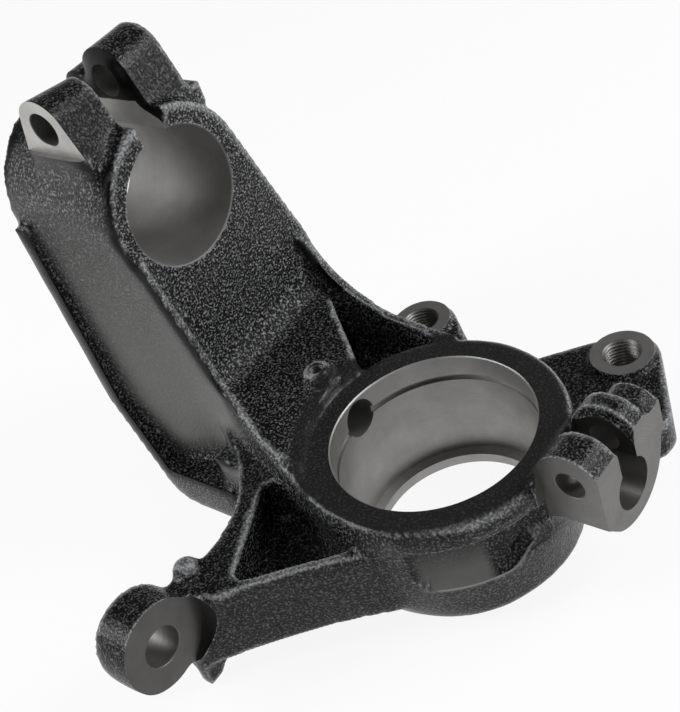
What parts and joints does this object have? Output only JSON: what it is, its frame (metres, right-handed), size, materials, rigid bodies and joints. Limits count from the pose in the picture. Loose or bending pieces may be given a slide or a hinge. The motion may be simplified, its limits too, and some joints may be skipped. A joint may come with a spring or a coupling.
{
  "type": "steering knuckle",
  "caption": "Cast iron steering knuckle with a bearing housing, a split strut clamp on a channel tower, a tie-rod arm, caliper lugs and a ball-joint clamp.",
  "frame": {"origin": "centre of the bearing housing's outboard face, on the wheel bearing axis", "axes": "+Z along the bearing axis and pointing inboard, +Y up along the strut, +X towards the brake caliper"},
  "size_m": [0.2086, 0.214, 0.1898],
  "materials": {
    "painted_casting": "black paint over an as-cast sand texture, with bare machined faces"
  },
  "bodies": {
    "root": {"knuckle_casting": "painted_casting"}
  },
  "joints": []
}
